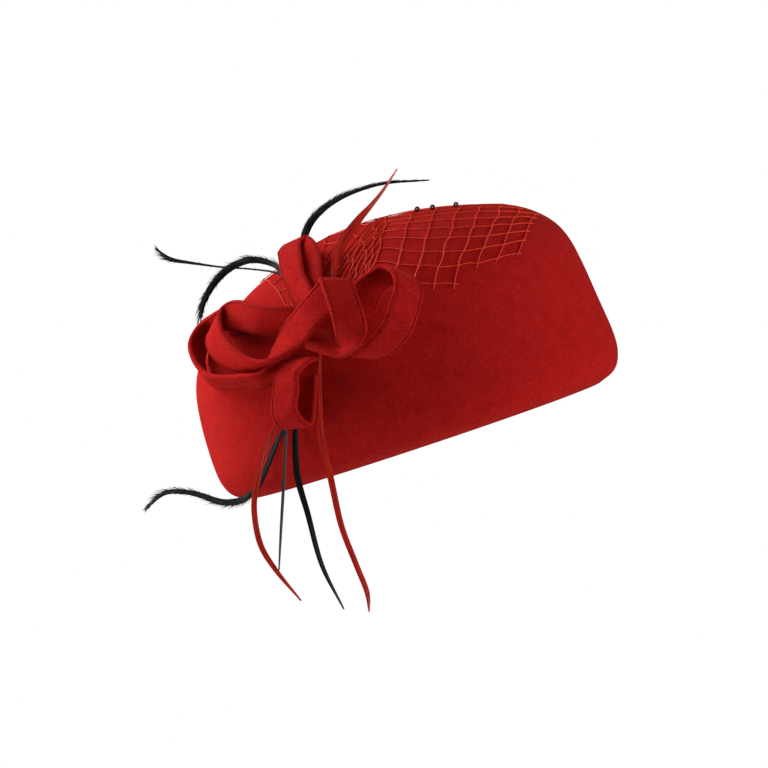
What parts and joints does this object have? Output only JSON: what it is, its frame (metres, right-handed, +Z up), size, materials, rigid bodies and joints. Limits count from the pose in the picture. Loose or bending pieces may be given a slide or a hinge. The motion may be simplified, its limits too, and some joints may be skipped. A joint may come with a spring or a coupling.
{
  "type": "felt pillbox hat",
  "caption": "Oval domed felt pillbox hat with a looped felt bow on one side, a gathered open net over the top, small beads and hanging quills.",
  "frame": {"origin": "middle of the head opening, level with the rim's lowest edge", "axes": "+X along the crown's length, +Z up through the crown, -Y towards the side that carries the bow"},
  "size_m": [0.2649, 0.2223, 0.2114],
  "materials": {
    "wool_felt": "matt red felt with a fine nap",
    "ribbon_felt": "matt red doubled felt, edge stitched",
    "net_thread": "orange-red knotted net thread",
    "black_feather": "teal-black feather with a soft sheen",
    "red_quill": "glossy dyed red quill",
    "red_bead": "glossy dark red"
  },
  "bodies": {
    "root": {"crown": "wool_felt", "bow_loop_upper": "ribbon_felt", "bow_long_ribbon": "ribbon_felt", "bow_loop_left_back": "ribbon_felt", "bow_loop_right": "ribbon_felt", "bow_loop_lower": "ribbon_felt", "veil_net": "net_thread", "feather_black_arched": "black_feather", "feather_black_curled": "black_feather", "feather_black_thin": "black_feather", "feather_black_wavy": "black_feather", "quill_black_short": "black_feather", "quill_black_long": "black_feather", "feather_red_blade": "red_quill", "quill_red_long": "red_quill", "quill_red_pointed": "red_quill", "bead_1": "red_bead", "bead_2": "red_bead", "bead_3": "red_bead"}
  },
  "joints": []
}
